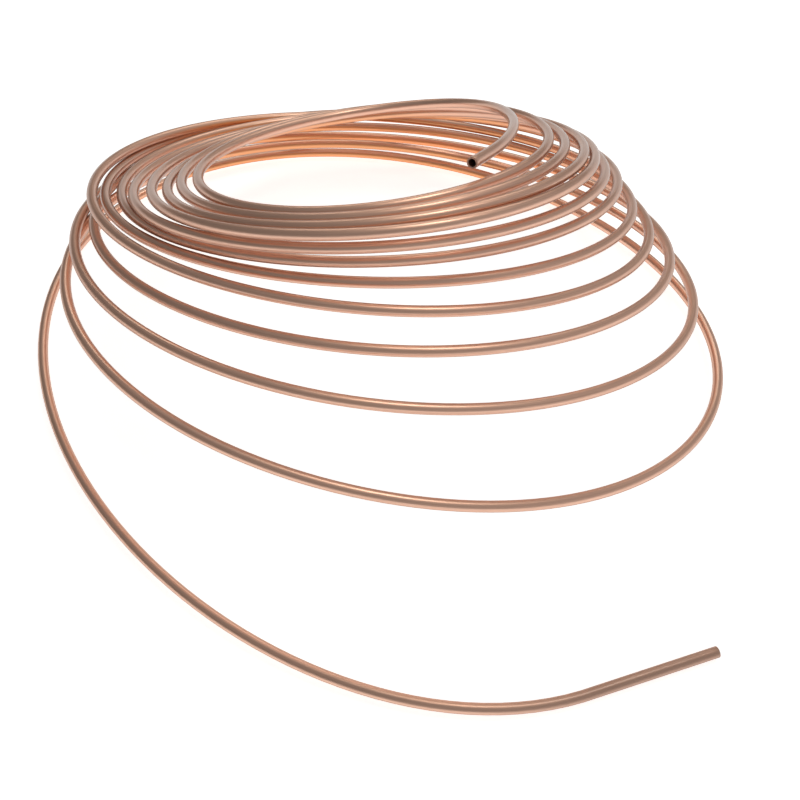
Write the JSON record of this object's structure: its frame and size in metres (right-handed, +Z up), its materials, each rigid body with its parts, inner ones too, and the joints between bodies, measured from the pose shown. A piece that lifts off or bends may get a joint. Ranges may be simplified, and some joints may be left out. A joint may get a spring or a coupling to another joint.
{
  "type": "copper tube coil",
  "caption": "Loose coil of thin rigid copper tube, its open turns fanning out and down to one wide turn on the floor.",
  "frame": {"origin": "on the floor, at the middle of the bottom of the coil's box", "axes": "+Z up; the lowest, widest turn and the straight tail are in front, on the -Y side; the tail's end points to +X"},
  "size_m": [0.3334, 0.3541, 0.1333],
  "materials": {
    "copper": "satin"
  },
  "bodies": {
    "root": {"copper_tube": "copper"}
  },
  "joints": []
}
